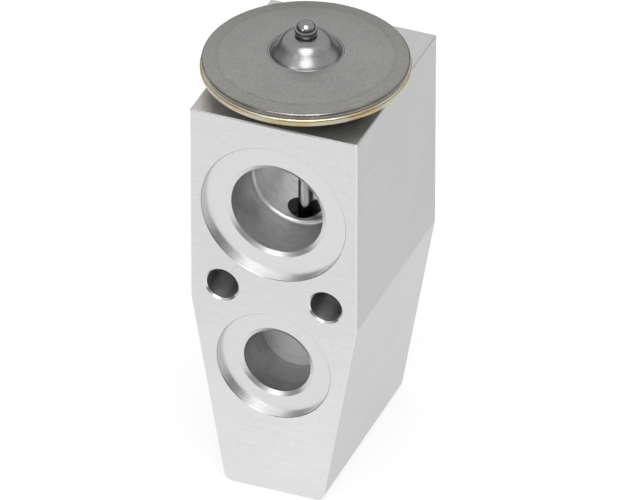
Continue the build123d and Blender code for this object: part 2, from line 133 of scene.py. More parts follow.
# The block's side of the thread: relief on upright walls this near to the thread's radius
THREAD_RELIEF = 0.25
THREAD_MARGIN = 0.08
THREAD_SOFTNESS = 0.02
THREAD_UPRIGHT = (0.4, 0.2)

# The screw's side: a groove between two heights. Its mouth and root each have a reach from the
# screw's radius in millimetres and half a width in pitches
SCREW_RADIUS = THREAD_RADIUS - 0.05
GROOVE_HEIGHTS = (1.4, 10.1)
GROOVE_MOUTH = (0.1, 0.46)
GROOVE_ROOT = (-0.4, 0.08)
GROOVE_SIDES = 48

# Pieces that stand in for nodes: the distance within which their points are welded, in metres, and
# the angle beyond which their edges stay sharp
WELD_DISTANCE_M = 0.000001
SHARP_ANGLE = math.radians(30)

# Marks that the finishes share. A grain has its size in millimetres and the settings of its noise.
# The drift makes rings wander, and a pit is full over its core, a share of its radius
SPECKLE = (0.4, {"detail": 3.0, "roughness": 0.6})
DRIFT_SIZE = 9.0
DRIFT_DETAIL = 1.0
RING_DETAIL = 3.0
PIT_CORE = 0.4


class Nodes:
    """A material's nodes, with short ways to add and link them."""

    def __init__(self, name):
        self.material = bpy.data.materials.new(name)
        self.material.use_nodes = True
        self.tree = self.material.node_tree
        self.tree.nodes.clear()
        self.output = self.node("ShaderNodeOutputMaterial").inputs["Surface"]

    def node(self, kind, **settings):
        made = self.tree.nodes.new(kind)
        for name, value in settings.items():
            setattr(made, name, value)
        return made

    def feed(self, socket, value):
        """Links a socket to another one, or sets it."""
        if isinstance(value, bpy.types.NodeSocket):
            self.tree.links.new(value, socket)
        else:
            socket.default_value = value

    def feed_all(self, sockets, values):
        for socket, value in zip(sockets, values):
            self.feed(socket, value)

    def maths(self, operation, *values):
        made = self.node("ShaderNodeMath", operation=operation)
        self.feed_all(made.inputs, values)
        return made.outputs[0]

    def vector(self, operation, *values):
        made = self.node("ShaderNodeVectorMath", operation=operation)
        self.feed_all(made.inputs, values)
        return made.outputs["Value" if operation == "LENGTH" else "Vector"]

    def split(self, vector):
        made = self.node("ShaderNodeSeparateXYZ")
        self.feed(made.inputs[0], vector)
        return list(made.outputs)

    def join(self, x, y, z):
        made = self.node("ShaderNodeCombineXYZ")
        self.feed_all(made.inputs, (x, y, z))
        return made.outputs[0]

    def add(self, *values):
        total = values[0]
        for value in values[1:]:
            total = self.maths("ADD", total, value)
        return total

    def times(self, *values):
        total = values[0]
        for value in values[1:]:
            total = self.maths("MULTIPLY", total, value)
        return total

    def ramp(self, value, low, high, first=0.0, last=1.0):
        """A smooth run from the first level at low to the last at high. low may be the larger one."""
        if low > high:
            low, high, first, last = high, low, last, first
        made = self.node("ShaderNodeMapRange", interpolation_type="SMOOTHSTEP")
        names = ("Value", "From Min", "From Max", "To Min", "To Max")
        self.feed_all([made.inputs[name] for name in names], (value, low, high, first, last))
        return made.outputs["Result"]

    def band(self, value, low, high, edge):
        """1 between two limits, with soft edges."""
        rise = self.ramp(value, low - edge, low + edge)
        return self.maths("MULTIPLY", rise, self.ramp(value, high + edge, high - edge))


class Finish(Nodes):
    """The look of a piece, from the place on it in millimetres and the way that its surface faces."""

    def __init__(self, name, metallic=1.0, anisotropic=0.0):
        super().__init__(name)
        self.shader = self.node("ShaderNodeBsdfPrincipled")
        self.shader.inputs["Metallic"].default_value = metallic
        self.shader.inputs["Anisotropic"].default_value = anisotropic
        self.feed(self.output, self.shader.outputs["BSDF"])
        coordinates = self.node("ShaderNodeTexCoord").outputs
        self.place = self.vector("MULTIPLY", coordinates["Object"], (MM, MM, MM))
        self.x, self.y, self.z = self.split(self.place)
        _, ny, nz = self.split(coordinates["Normal"])
        self.ny = self.maths("ABSOLUTE", ny)
        self.nz = self.maths("ABSOLUTE", nz)

    def mix(self, share, first, second):
        """A number between two numbers."""
        made = self.node("ShaderNodeMix", data_type="FLOAT")
        self.feed_all((made.inputs[0], made.inputs[2], made.inputs[3]), (share, first, second))
        return made.outputs[0]

    def aim(self, share, first, second):
        """A vector between two vectors."""
        made = self.node("ShaderNodeMix", data_type="VECTOR")
        self.feed_all((made.inputs[0], made.inputs[4], made.inputs[5]), (share, first, second))
        return made.outputs[1]

    def tint(self, share, first, second):
        """A colour between two colours, given as three linear numbers each or as a socket."""
        made = self.node("ShaderNodeMix", data_type="RGBA")
        values = [share]
        for colour in (first, second):
            values.append(colour if isinstance(colour, bpy.types.NodeSocket) else (*colour, 1.0))
        self.feed_all((made.inputs[0], made.inputs[6], made.inputs[7]), values)
        return made.outputs[2]

    def grey(self, level):
        """A neutral colour from one level."""
        return self.join(level, level, level)

    def shade(self, colour, level):
        """A colour made darker or lighter by a factor."""
        return self.vector("MULTIPLY", colour, self.grey(level))

    def noise(self, vector, detail=2.0, roughness=0.5):
        """Noise about zero, within about half each way. The vector sets its grain."""
        made = self.node("ShaderNodeTexNoise")
        names = ("Vector", "Scale", "Detail", "Roughness")
        self.feed_all([made.inputs[name] for name in names], (vector, 1.0, detail, roughness))
        return self.maths("SUBTRACT", made.outputs["Fac"], 0.5)

    def grain(self, size, **settings):
        """Noise whose cells measure these millimetres along X, Y and Z, or this one along all."""
        sides = size if isinstance(size, tuple) else (size, size, size)
        cells = tuple(1 / side for side in sides)
        return self.noise(self.vector("MULTIPLY", self.place, cells), **settings)

    def grains(self, table):
        """One grain for each row of a table that gives their sizes and settings."""
        return {name: self.grain(size, **settings) for name, (size, settings) in table.items()}

    def rings(self, radius, pitch, wander=0.0):
        """Turning marks: noise that depends on the radius, and a little on the place."""
        drift = self.times(self.grain(DRIFT_SIZE, detail=DRIFT_DETAIL), wander)
        across = self.add(self.times(radius, 1 / pitch), drift)
        return self.noise(self.join(across, 0.0, 0.0), detail=RING_DETAIL)

    def pits(self, spacing, share, radius):
        """1 in small round spots of this radius, at most one in each cell, in a share of the cells."""
        made = self.node("ShaderNodeTexVoronoi")
        cell = 1 / spacing
        self.feed(made.inputs["Vector"], self.vector("MULTIPLY", self.place, (cell, cell, cell)))
        self.feed(made.inputs["Scale"], 1.0)
        chosen = self.maths("GREATER_THAN", self.split(made.outputs["Color"])[0], 1 - share)
        spot = self.ramp(made.outputs["Distance"], radius * cell, PIT_CORE * radius * cell)
        return self.times(chosen, spot)

    def mixture(self, marks, shares, base=None):
        """The marks that the shares name, each times its share, on top of a base if there is one."""
        parts = [self.times(marks[name], share) for name, share in shares.items()]
        return self.add(*parts) if base is None else self.add(base, *parts)

    def set(self, colour, roughness, bump, depth, tangent=None):
        """Wires the shader. depth is the bump's height in millimetres for one unit of its noise."""
        made = self.node("ShaderNodeBump")
        made.inputs["Distance"].default_value = depth / MM
        made.inputs["Strength"].default_value = 1.0
        self.feed(made.inputs["Height"], bump)
        self.feed(self.shader.inputs["Base Color"], colour)
        self.feed(self.shader.inputs["Roughness"], roughness)
        self.feed(self.shader.inputs["Normal"], made.outputs["Normal"])
        if tangent is not None:
            self.feed(self.shader.inputs["Tangent"], self.vector("NORMALIZE", tangent))
        return self.material


def about_stem(finish):
    """Distance from the stem's axis and the direction round it."""
    across = finish.maths("SUBTRACT", finish.y, STEM_Y)
    radius = finish.vector("LENGTH", finish.join(finish.x, across, 0.0))
    return radius, finish.join(finish.maths("MULTIPLY", across, -1.0), finish.x, 0.0)


def about_ports(finish):
    """Distance from the axis of the nearest port, the direction round it, and the port's radii."""
    upper = finish.maths("GREATER_THAN", finish.z, MIDDLE_Z)
    front = finish.maths("LESS_THAN", finish.y, 0.0)
    lower_z = finish.mix(front, OUTLET_Z, INLET_Z)
    above = finish.maths("SUBTRACT", finish.z, finish.mix(upper, lower_z, SUCTION_Z))
    radius = finish.vector("LENGTH", finish.join(finish.x, above, 0.0))
    spot_radius = finish.mix(upper, LIQUID_SPOT_RADIUS, SUCTION_SPOT_RADIUS)
    bore_radius = finish.mix(upper, LIQUID_BORE_RADIUS, SUCTION_BORE_RADIUS)
    round_it = finish.join(above, 0.0, finish.maths("MULTIPLY", finish.x, -1.0))
    return upper, radius, round_it, spot_radius, bore_radius


def about_bolts(finish):
    """Distance from the axis of the nearest bolt hole."""
    across = finish.maths("SUBTRACT", finish.maths("ABSOLUTE", finish.x), BOLT_X)
    above = finish.maths("SUBTRACT", finish.z, BOLT_Z)
    return finish.vector("LENGTH", finish.join(across, above, 0.0))


def thread(finish):
    """Where the block's wall carries the foot's thread, and the height of a right-hand thread there."""
    across = finish.maths("SUBTRACT", finish.y, STEM_Y)
    radius, _ = about_stem(finish)
    turn = finish.times(finish.maths("ARCTAN2", across, finish.x), 1 / (2 * math.pi))
    share = finish.maths("SUBTRACT", finish.times(finish.z, 1 / THREAD_PITCH), turn)
    wave = finish.maths("PINGPONG", share, 0.5)
    low, high = THREAD_RADIUS - THREAD_MARGIN, THREAD_RADIUS + THREAD_MARGIN
    wall = finish.times(
        finish.band(radius, low, high, THREAD_SOFTNESS),
        finish.ramp(finish.nz, *THREAD_UPRIGHT),
        finish.maths("LESS_THAN", finish.z, THREAD_TOP),
    )
    return wall, finish.times(wall, finish.times(wave, 2 * THREAD_RELIEF))


# The block's marks
BLOCK_GRAINS = {
    "speckle": SPECKLE,
    "saw marks": ((6.0, 6.0, 0.5), {"detail": 3.0}),
    "face cloud": ((30, 30, 40), {}),
    "fine streaks": ((0.8, 40.0, 0.8), {"detail": 4.0, "roughness": 0.7}),
    "broad streaks": ((3.0, 60.0, 3.0), {"detail": 1.0}),
    "side cloud": ((20, 12, 20), {}),
    "blotches": ((2.2, 1.2, 2.2), {"detail": 3.0}),
}
BLOCK_PITS = {"spacing": 2.4, "share": 0.3, "radius": 0.16}
PORT_RINGS = {"pitch": 0.35, "wander": 0.6}
BORE_RINGS = {"pitch": 0.3}
END_RINGS = {"pitch": 0.5, "wander": 1.0}

# How much of each mark goes into a mixed mark, a level or a roughness of the block
SAWN_MIXTURE = {"saw marks": 0.6, "speckle": 0.9}
DRAWN_MIXTURE = {"fine streaks": 0.7, "broad streaks": 0.3}
SWIRL_MIXTURE = {"bore rings": 0.16, "blotches": 0.30, "pits": -0.2}
FACE_SHARES = {"sawn": 0.13, "face cloud": 0.06, "pits": -0.16}
SIDE_SHARES = {"drawn": 0.14, "side cloud": 0.05, "speckle": 0.05, "pits": -0.07}
TOP_SHARES = {"drawn": 0.14, "speckle": 0.05}
PORT_SHARES = {"port rings": 0.14, "speckle": 0.05}
END_SHARES = {"end rings": 0.2}
# Painted shade: the thread's relief darkens its roots and lightens its crests
THREAD_PAINTED_SHADE_SHARES = {"thread": 1.4}
DRAWN_ROUGH_SHARES = {"drawn": 0.1}
PORT_ROUGH_SHARES = {"port rings": 0.12}

# The block's grey levels, which are linear
FACE_LEVEL = 0.71
# Painted light: the faces are lighter towards the foot, where the bright floor lights them
FACE_FLOOR_LIGHT_LEVEL = 0.755
SIDE_LEVEL = 0.50
# Painted light: the sides are lighter below the knee, where the tapered wall faces the bright floor
SIDE_FLOOR_LIGHT_LEVEL = 0.575
TOP_LEVEL = 0.54
PORT_LEVEL = 0.70
# Painted shade: the bore walls are darker than the faces, those of the lower ports the darkest
UPPER_BORE_PAINTED_SHADE_LEVEL = 0.64
LOWER_BORE_PAINTED_SHADE_LEVEL = 0.43
# Painted light: the end walls at the bottom of the bores are lighter than the rest of the block
END_PAINTED_LIGHT_LEVEL = 0.95
BOLT_LEVEL = 0.74
# Painted shade: the threaded wall in the foot is dark
THREAD_PAINTED_SHADE_LEVEL = 0.35
UPRIGHT_EDGE_LEVEL = 0.74
# Painted shade: edge breaks along the top and foot of the faces are darker than upright ones
LYING_EDGE_PAINTED_SHADE_LEVEL = 0.5
# Painted shade: the edge break round each spot face is dark
SPOT_EDGE_PAINTED_SHADE_LEVEL = 0.3

# The block's roughness and bump
SIDE_ROUGHNESS = 0.34
FACE_ROUGHNESS = 0.42
TOP_ROUGHNESS = 0.42
PORT_ROUGHNESS = 0.3
BORE_ROUGHNESS = 0.4
END_ROUGHNESS = 0.85
EDGE_ROUGHNESS = 0.25
BLOCK_BUMP = 0.012
BLOCK_ANISOTROPY = 0.35

# Where one look of the block turns into another: by the share of the surface's direction along Y or
# Z, by the depth from the middle, by the height, or by the distance from an edge, in millimetres
FACING_FRONT = (0.97, 0.995)
FACING_UP = (0.8, 0.95)
FACE_DEPTH = (HALF_DEPTH - 0.15, HALF_DEPTH - 0.1)
EDGE_SLOPE = (0.55, 0.86, 0.05)
EDGE_DEPTH = (HALF_DEPTH - 0.5, HALF_DEPTH - 0.4)
EDGE_LYING = (0.4, 0.6)
# The two height fades below carry the painted floor light on the faces and on the sides
FACE_FLOOR_LIGHT_FADE = (48.0, 14.0)
KNEE_FLOOR_LIGHT_FADE = (KNEE_Z + 1.0, KNEE_Z - 1.0)
PORT_MARGIN = 0.04
BORE_MARGIN = 0.02
BOLT_MARGIN = 0.05
SPOT_EDGE = 0.3


def block_finish():
    """Extruded aluminium: drawn sides, sawn faces, turned ports and bright cut edges."""
    finish = Finish("block_finish", anisotropic=BLOCK_ANISOTROPY)
    upper, radius, round_port, spot_radius, bore_radius = about_ports(finish)
    in_thread, relief = thread(finish)

    depth = finish.maths("ABSOLUTE", finish.y)
    flat = finish.ramp(finish.ny, *FACING_FRONT)
    face = finish.times(flat, finish.ramp(depth, *FACE_DEPTH))
    top = finish.ramp(finish.nz, *FACING_UP)
    in_port = finish.times(
        finish.maths("LESS_THAN", radius, finish.add(spot_radius, PORT_MARGIN)),
        finish.maths("SUBTRACT", 1.0, face),
    )
    near_axis = finish.maths("LESS_THAN", radius, finish.add(bore_radius, BORE_MARGIN))
    in_bore = finish.times(in_port, near_axis)
    in_bolt = finish.maths("LESS_THAN", about_bolts(finish), BOLT_HOLE_RADIUS + BOLT_MARGIN)
    cut_edge = finish.times(finish.band(finish.ny, *EDGE_SLOPE), finish.ramp(depth, *EDGE_DEPTH))
    painted_shade_spot_edge = finish.times(cut_edge, finish.maths("COMPARE", radius, spot_radius, SPOT_EDGE))

    marks = finish.grains(BLOCK_GRAINS)
    marks["pits"] = finish.pits(**BLOCK_PITS)
    marks["sawn"] = finish.mixture(marks, SAWN_MIXTURE)
    marks["drawn"] = finish.mixture(marks, DRAWN_MIXTURE)
    marks["port rings"] = finish.rings(radius, **PORT_RINGS)
    marks["bore rings"] = finish.rings(finish.y, **BORE_RINGS)
    marks["end rings"] = finish.rings(radius, **END_RINGS)
    marks["thread"] = relief
    swirl = finish.mixture(marks, SWIRL_MIXTURE)

    # Painted light: the face grows lighter towards the foot, near the bright floor
    face_base_with_floor_light = finish.mix(finish.ramp(finish.z, *FACE_FLOOR_LIGHT_FADE), FACE_LEVEL, FACE_FLOOR_LIGHT_LEVEL)
    # Painted light: the side is lighter below the knee, where it faces the bright floor
    side_base_with_floor_light = finish.mix(finish.ramp(finish.z, *KNEE_FLOOR_LIGHT_FADE), SIDE_LEVEL, SIDE_FLOOR_LIGHT_LEVEL)
    # Painted shade inside the bores, deeper in the lower ports
    bore_painted_shade = finish.mix(upper, LOWER_BORE_PAINTED_SHADE_LEVEL, UPPER_BORE_PAINTED_SHADE_LEVEL)
    lying = finish.ramp(finish.nz, *EDGE_LYING)
    face_level = finish.mixture(marks, FACE_SHARES, face_base_with_floor_light)
    side_level = finish.mixture(marks, SIDE_SHARES, side_base_with_floor_light)
    top_level = finish.mixture(marks, TOP_SHARES, TOP_LEVEL)
    port_level = finish.mixture(marks, PORT_SHARES, PORT_LEVEL)
    # Painted light on the end walls of the bores
    end_painted_light = finish.mixture(marks, END_SHARES, END_PAINTED_LIGHT_LEVEL)
    bore_level = finish.mix(flat, finish.add(bore_painted_shade, swirl), end_painted_light)
    # Painted shade on the thread: a dark wall, with the roots darker than the crests
    thread_painted_shade = finish.mixture(marks, THREAD_PAINTED_SHADE_SHARES, THREAD_PAINTED_SHADE_LEVEL)
    # Painted shade on the edge breaks that face up or down
    edge_level = finish.mix(lying, UPRIGHT_EDGE_LEVEL, LYING_EDGE_PAINTED_SHADE_LEVEL)

    level = finish.mix(face, side_level, face_level)
    level = finish.mix(top, level, top_level)
    level = finish.mix(in_port, level, port_level)
    level = finish.mix(in_bore, level, bore_level)
    level = finish.mix(in_bolt, level, finish.add(BOLT_LEVEL, swirl))
    level = finish.mix(in_thread, level, thread_painted_shade)
    level = finish.mix(cut_edge, level, edge_level)
    # Painted shade on the edge break round the spot face
    level = finish.mix(painted_shade_spot_edge, level, SPOT_EDGE_PAINTED_SHADE_LEVEL)

    side_rough = finish.mixture(marks, DRAWN_ROUGH_SHARES, SIDE_ROUGHNESS)
    top_rough = finish.mixture(marks, DRAWN_ROUGH_SHARES, TOP_ROUGHNESS)
    port_rough = finish.mixture(marks, PORT_ROUGH_SHARES, PORT_ROUGHNESS)
    rough = finish.mix(face, side_rough, FACE_ROUGHNESS)
    rough = finish.mix(top, rough, top_rough)
    rough = finish.mix(in_port, rough, port_rough)
    rough = finish.mix(in_bore, rough, finish.mix(flat, BORE_ROUGHNESS, END_ROUGHNESS))
    rough = finish.mix(cut_edge, rough, EDGE_ROUGHNESS)

    pitted = finish.add(marks["sawn"], finish.times(marks["pits"], -1.0))
    bump = finish.mix(face, marks["drawn"], pitted)
    bump = finish.mix(in_port, bump, marks["port rings"])
    bump = finish.add(bump, finish.times(relief, 1 / BLOCK_BUMP))
    tangent = finish.aim(face, (0.0, 1.0, 0.0), (1.0, 0.0, 0.0))
    tangent = finish.aim(in_port, tangent, round_port)
    return finish.set(finish.grey(level), rough, bump, BLOCK_BUMP, tangent)


# The upper cover: its marks, how much of each goes into a level or the bump, its levels, colours
# and roughness, and the radii between which one look turns into another
COVER_GRAINS = {"cloud": (7.0, {"detail": 3.0}), "speckle": SPECKLE}
COVER_RINGS = {"pitch": 0.5, "wander": 1.0}
DISC_SHARES = {"cloud": 0.06, "speckle": 0.2, "rings": 0.05, "faint ring": -0.025}
BELL_SHARES = {"rings": 0.05, "speckle": 0.06, "cloud": 0.08}
COVER_RIM_SHARES = {"cloud": 0.3, "speckle": 0.15}
COVER_ROUGH_SHARES = {"speckle": 0.1}
COVER_BUMP_MIXTURE = {"speckle": 0.6, "rings": 0.4}
DISC_LEVEL = 0.29
DISC_EDGE_SHADE = 0.95
BELL_LEVEL = 0.25
COVER_RIM_LEVEL = 0.2
DISC_COLOUR = (1.0, 0.995, 0.98)
DISC_EDGE_COLOUR = (1.0, 0.985, 0.92)
COVER_RIM_COLOUR = (1.0, 0.975, 0.9)
DISC_ROUGHNESS = 0.36
BELL_ROUGHNESS = 0.25
COVER_RIM_ROUGHNESS = 0.22
COVER_BUMP = 0.008
COVER_ANISOTROPY = 0.3
DISC_EDGE_RADIUS = 17.0
BELL_FADE = (BELL_GROOVE_RADIUS + 0.2, BELL_GROOVE_RADIUS - 0.1)
DISC_EDGE_FADE = (DISC_EDGE_RADIUS - 0.8, DISC_EDGE_RADIUS + 0.5)
# Painted shade: a faint darker ring where the disc bends
BEND_PAINTED_SHADE_RING = (DISC_EDGE_RADIUS - 0.3, DISC_EDGE_RADIUS + 0.3, 0.3)
COVER_RIM_FADE = (RIM_RADIUS - 0.5, RIM_RADIUS - 0.2)


def cover_finish():
    """Pressed stainless sheet, dull on the disc, brighter on the bell, straw at the weld."""
    finish = Finish("cover_finish", anisotropic=COVER_ANISOTROPY)
    radius, round_stem = about_stem(finish)
    bell = finish.ramp(radius, *BELL_FADE)
    outer = finish.ramp(radius, *DISC_EDGE_FADE)
    rim = finish.ramp(radius, *COVER_RIM_FADE)

    marks = finish.grains(COVER_GRAINS)
    marks["rings"] = finish.rings(radius, **COVER_RINGS)
    # Painted shade of the disc's bend, as a faint dark ring in the level
    marks["faint ring"] = finish.band(radius, *BEND_PAINTED_SHADE_RING)

    disc_level = finish.mixture(marks, DISC_SHARES, DISC_LEVEL)
    outer_level = finish.times(disc_level, DISC_EDGE_SHADE)
    bell_level = finish.mixture(marks, BELL_SHARES, BELL_LEVEL)
    rim_level = finish.mixture(marks, COVER_RIM_SHARES, COVER_RIM_LEVEL)
    colour = finish.shade(DISC_COLOUR, disc_level)
    colour = finish.tint(outer, colour, finish.shade(DISC_EDGE_COLOUR, outer_level))
    colour = finish.tint(bell, colour, finish.grey(bell_level))
    colour = finish.tint(rim, colour, finish.shade(COVER_RIM_COLOUR, rim_level))

    disc_rough = finish.mixture(marks, COVER_ROUGH_SHARES, DISC_ROUGHNESS)
    bell_rough = finish.mixture(marks, COVER_ROUGH_SHARES, BELL_ROUGHNESS)
    rough = finish.mix(bell, disc_rough, bell_rough)
    rough = finish.mix(rim, rough, COVER_RIM_ROUGHNESS)
    bump = finish.mixture(marks, COVER_BUMP_MIXTURE)
    return finish.set(colour, rough, bump, COVER_BUMP, round_stem)


# The lower cover. Straw turns to bronze as its patches rise, and both end inside the rim
RIM_GRAINS = {"patches": ((6.0, 6.0, 3.0), {"detail": 3.0}), "speckle": (0.3, {"detail": 3.0})}
RIM_SHARES = {"speckle": 0.25}
RIM_ROUGH_SHARES = {"speckle": 0.15}
RIM_STRAW = (0.54, 0.50, 0.39)
RIM_BRONZE = (0.50, 0.40, 0.22)
RIM_PLAIN = (0.26, 0.26, 0.255)
RIM_PATCH_FADE = (-0.08, 0.12)
RIM_TINT_FADE = (RIM_RADIUS - 0.5, RIM_RADIUS - 1.5)
RIM_ROUGHNESS = 0.32
RIM_BUMP = 0.01
RIM_ANISOTROPY = 0.3


def rim_finish():
    """The lower cover: stainless sheet tinted straw and bronze by the heat of the weld."""
    finish = Finish("rim_finish", anisotropic=RIM_ANISOTROPY)
    radius, round_stem = about_stem(finish)
    marks = finish.grains(RIM_GRAINS)
    bronze = finish.ramp(marks["patches"], *RIM_PATCH_FADE)
    inner = finish.ramp(radius, *RIM_TINT_FADE)
    colour = finish.tint(bronze, RIM_STRAW, RIM_BRONZE)
    colour = finish.tint(inner, colour, RIM_PLAIN)
    colour = finish.shade(colour, finish.mixture(marks, RIM_SHARES, 1.0))
    rough = finish.mixture(marks, RIM_ROUGH_SHARES, RIM_ROUGHNESS)
    return finish.set(colour, rough, marks["speckle"], RIM_BUMP, round_stem)


# Turned steel and brass
TURNED_GRAINS = {"speckle": (0.25, {})}
TURNED_RINGS = {"pitch": 0.25, "wander": 0.5}
TURNED_SHARES = {"rings": 0.16, "speckle": 0.08}
TURNED_ROUGH_SHARES = {"rings": 0.1}
TURNED_BUMP = 0.006
TURNED_ANISOTROPY = 0.4


def turned_finish(name, colour, roughness):
    """Turned metal: rings about the stem's axis, seen as fine steps in tone and gloss."""
    finish = Finish(name, anisotropic=TURNED_ANISOTROPY)
    radius, round_stem = about_stem(finish)
    marks = finish.grains(TURNED_GRAINS)
    marks["rings"] = finish.rings(finish.add(radius, finish.z), **TURNED_RINGS)
    toned = finish.shade(colour, finish.mixture(marks, TURNED_SHARES, 1.0))
    rough = finish.mixture(marks, TURNED_ROUGH_SHARES, roughness)
    return finish.set(toned, rough, marks["rings"], TURNED_BUMP, round_stem)


# Hardened balls
BALL_GRAINS = {"haze": (0.5, {"detail": 3.0})}
BALL_SHARES = {"haze": 0.3}
BALL_ROUGH_SHARES = {"haze": 0.05}
# Painted reflection: the balls' colour is dark, for the dark surroundings that they mirror
BALL_PAINTED_REFLECTION_COLOUR = (0.24, 0.24, 0.242)
BALL_ROUGHNESS = 0.08
BALL_BUMP = 0.0005


def ball_finish():
    """Hardened ball: a mirror with a faint lapping haze. Its colour is painted dark, a painted reflection of dark
    surroundings.
    """
    finish = Finish("ball_finish")
    marks = finish.grains(BALL_GRAINS)
    colour = finish.shade(BALL_PAINTED_REFLECTION_COLOUR, finish.mixture(marks, BALL_SHARES, 1.0))
    rough = finish.mixture(marks, BALL_ROUGH_SHARES, BALL_ROUGHNESS)
    return finish.set(colour, rough, marks["haze"], BALL_BUMP)


# Spring steel. Its light tone turns to the dark one as the cloud rises
SHEET_GRAINS = {"rolled": ((0.3, 3.0, 0.3), {"detail": 3.0}), "cloud": (1.5, {})}
SHEET_SHARES = {"rolled": 0.15}
SHEET_ROUGH_SHARES = {"rolled": 0.12}
SHEET_FADE = (-0.2, 0.25)
SHEET_ROUGHNESS = 0.3
SHEET_BUMP = 0.004
SHEET_ANISOTROPY = 0.2


def sheet_finish(name, light, dark):
    """Sprung steel sheet and wire: rolled grain and a light oil brown."""
    finish = Finish(name, anisotropic=SHEET_ANISOTROPY)
    marks = finish.grains(SHEET_GRAINS)
    colour = finish.tint(finish.ramp(marks["cloud"], *SHEET_FADE), light, dark)
    colour = finish.shade(colour, finish.mixture(marks, SHEET_SHARES, 1.0))
    rough = finish.mixture(marks, SHEET_ROUGH_SHARES, SHEET_ROUGHNESS)
    return finish.set(colour, rough, marks["rolled"], SHEET_BUMP, (0.0, 1.0, 0.0))


# Rubber
RUBBER_GRAINS = {"bloom": (1.2, {}), "pore": (0.12, {"detail": 3.0})}
RUBBER_SHARES = {"bloom": 0.015, "pore": 0.01}
RUBBER_ROUGH_SHARES = {"bloom": 0.2}
RUBBER_LEVEL = 0.02
RUBBER_ROUGHNESS = 0.6
RUBBER_BUMP = 0.01


def rubber_finish():
    """Black moulded rubber, matt with a faint bloom."""
    finish = Finish("rubber_finish", metallic=0.0)
    marks = finish.grains(RUBBER_GRAINS)
    level = finish.mixture(marks, RUBBER_SHARES, RUBBER_LEVEL)
    rough = finish.mixture(marks, RUBBER_ROUGH_SHARES, RUBBER_ROUGHNESS)
    return finish.set(finish.grey(level), rough, marks["pore"], RUBBER_BUMP)


# Colours of the smaller pieces and the roughness of turned ones. Sheet has a light and a dark tone
STEEL = ((0.52, 0.52, 0.525), 0.28)
# Painted shade: the push rod's steel is darker than the other steel, for the shade of the passage
ROD_STEEL_IN_PAINTED_SHADE = ((0.33, 0.325, 0.315), 0.16)
BRASS = ((0.66, 0.50, 0.24), 0.28)
SHEET = ((0.42, 0.41, 0.395), (0.33, 0.315, 0.29))
# Painted shade: a darker copy of the sheet, for the washer and retainer in the rod's pocket
SHEET_IN_PAINTED_SHADE = ((0.13, 0.127, 0.12), (0.09, 0.086, 0.08))


def dress_nodes():
    """Gives every node its finish."""
    dressed = {
        block_finish(): ("valve_block",),
        cover_finish(): ("upper_cover",),
        rim_finish(): ("lower_cover",),
        turned_finish("turned_steel_finish", *STEEL): (
            "threaded_hub",
            "diaphragm_pad",
            "seat_ring",
            "ball_carrier",
        ),
        # Painted shade: the rod gets a darker steel
        turned_finish("rod_finish", *ROD_STEEL_IN_PAINTED_SHADE): ("push_rod",),
        turned_finish("turned_brass_finish", *BRASS): ("guide_bush", "adjusting_screw"),
        ball_finish(): ("plug_ball", "valve_ball"),
        sheet_finish("sheet_finish", *SHEET): ("diaphragm", "damper_star", "superheat_spring"),
        # Painted shade: the washer and retainer get the darker copy of the sheet
        sheet_finish("oiled_sheet_finish", *SHEET_IN_PAINTED_SHADE): ("seal_washer", "seal_retainer"),
        rubber_finish(): ("head_seal", "rod_seal", "adjuster_ring"),
    }
    for material, names in dressed.items():
        for name in names:
            for slot in frame["nodes"][name].material_slots:
                slot.material = material


def new_object(name, points, faces):
    """An object in the scene, from its points in metres and its faces."""
    mesh = bpy.data.meshes.new(name)
    mesh.from_pydata(points, [], faces)
    made = bpy.data.objects.new(name, mesh)
    bpy.context.scene.collection.objects.link(made)
    return made


def groove_cutter():
    """The space of the right-hand groove in the adjusting screw, about the stem's axis."""
    (mouth, mouth_half), (root, root_half) = GROOVE_MOUTH, GROOVE_ROOT
    profile = [(mouth, mouth_half), (mouth, -mouth_half), (root, -root_half), (root, root_half)]
    low, high = GROOVE_HEIGHTS
    steps = round(GROOVE_SIDES * (high - low) / THREAD_PITCH)
    points, faces = [], []
    for i in range(steps + 1):
        turn = 2 * math.pi * i / GROOVE_SIDES
        for reach, rise in profile:
            out = (SCREW_RADIUS + reach) / MM
            height = (low + THREAD_PITCH * (i / GROOVE_SIDES + rise)) / MM
            points.append((out * math.cos(turn), STEM_Y / MM + out * math.sin(turn), height))
    corners = len(profile)
    for i in range(steps):
        for k in range(corners):
            after = (k + 1) % corners
            around = ((0, k), (0, after), (1, after), (1, k))
            faces.append([corners * (i + up) + corner for up, corner in around])
    faces.append(list(range(corners)))
    faces.append([corners * steps + k for k in reversed(range(corners))])
    return new_object("groove_cutter", points, faces)


def smooth(mesh):
    """Smooth shading that keeps the sharp edges."""
    mesh.shade_smooth()
    mesh.set_sharp_from_angle(angle=SHARP_ANGLE)


def stand_in(name, new_name):
    """A piece of the same form as a node, shown in its place, with the node's finish."""
    node = frame["nodes"][name]
    welded = bmesh.new()
    welded.from_mesh(node.data)
    bmesh.ops.remove_doubles(welded, verts=welded.verts, dist=WELD_DISTANCE_M)
    points = [vertex.co.copy() for vertex in welded.verts]
    faces = [[vertex.index for vertex in face.verts] for face in welded.faces]
    welded.free()
    piece = new_object(new_name, points, faces)
    piece.data.materials.append(node.material_slots[0].material)
    smooth(piece.data)
    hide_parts(name)
    return piece


